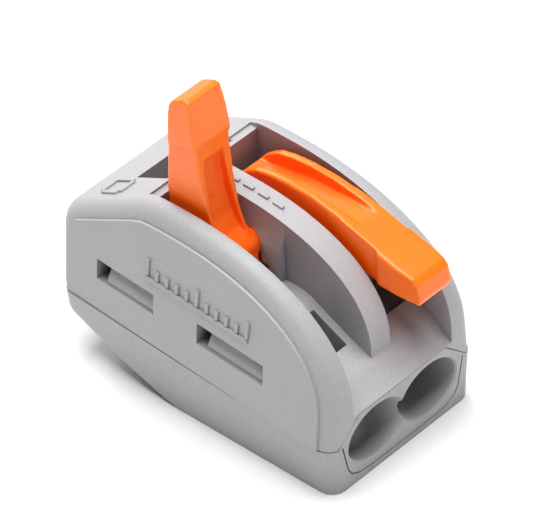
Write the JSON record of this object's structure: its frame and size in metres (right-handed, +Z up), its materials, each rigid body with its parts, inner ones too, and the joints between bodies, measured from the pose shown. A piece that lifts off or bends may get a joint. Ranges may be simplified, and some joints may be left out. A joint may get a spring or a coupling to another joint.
{
  "type": "lever wire connector",
  "caption": "Compact splicing connector: a rounded grey housing with side by side wire entries, each with its own flip-up orange lever and cage-clamp spring.",
  "frame": {"origin": "on the flat underside, in the middle of the housing's width and length", "axes": "+X across the two poles, -Y out of the wire-entry face, +Z up from the flat underside"},
  "size_m": [0.0128, 0.0212, 0.0207],
  "materials": {
    "housing_grey": "fine matt texture",
    "base_grey": "fine matt texture",
    "lever_orange": "smooth satin gloss",
    "tinned_copper": "bright tinned",
    "spring_steel": "rolled strip, bright"
  },
  "bodies": {
    "connector_body": {"housing_shell": "housing_grey", "wire_entry_base": "base_grey", "current_bar": "tinned_copper", "clamp_spring_left": "spring_steel", "clamp_spring_right": "spring_steel"},
    "left_lever": {"lever_left": "lever_orange"},
    "right_lever": {"lever_right": "lever_orange"}
  },
  "joints": [
    {"name": "left_lever_hinge", "type": "hinge", "parent": "connector_body", "child": "left_lever", "pos_m": [-0.0025, -0.0001, 0.0102], "axis": [-1, 0, 0], "range_deg": [-102, 0], "deforming": ["clamp_spring_left"]},
    {"name": "right_lever_hinge", "type": "hinge", "parent": "connector_body", "child": "right_lever", "pos_m": [0.0025, -0.0001, 0.0102], "axis": [-1, 0, 0], "range_deg": [0, 102], "deforming": ["clamp_spring_right"]}
  ]
}
